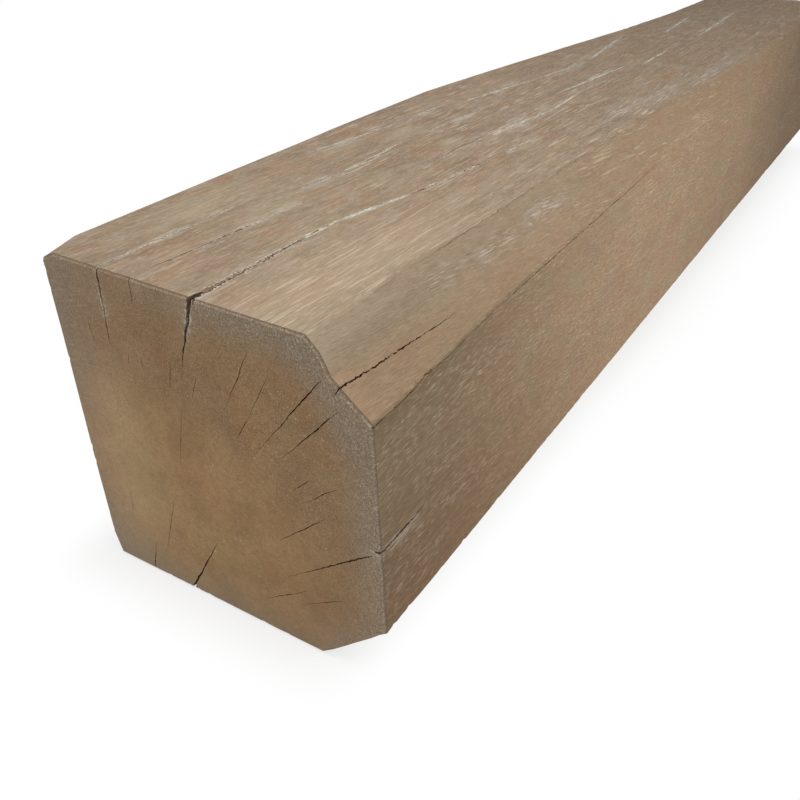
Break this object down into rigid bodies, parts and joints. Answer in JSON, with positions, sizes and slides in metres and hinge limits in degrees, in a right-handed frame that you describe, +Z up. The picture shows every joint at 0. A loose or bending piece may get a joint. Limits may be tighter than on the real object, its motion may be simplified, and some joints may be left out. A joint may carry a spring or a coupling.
{
  "type": "reclaimed oak beam",
  "caption": "Squared baulk of reclaimed oak with sawn ends, waney and bevelled long edges, and drying checks that open from the near end.",
  "frame": {"origin": "middle of the beam's length and width, on the level floor that its flat underside lies on", "axes": "+Z up; +Y along the beam, from the near sawn end with the open checks to the far end; +X to the side with the bevelled bottom edge"},
  "size_m": [0.175, 0.9, 0.175],
  "materials": {
    "oak": "dry, worn smooth, no coating"
  },
  "bodies": {
    "root": {"oak_beam": "oak"}
  },
  "joints": []
}
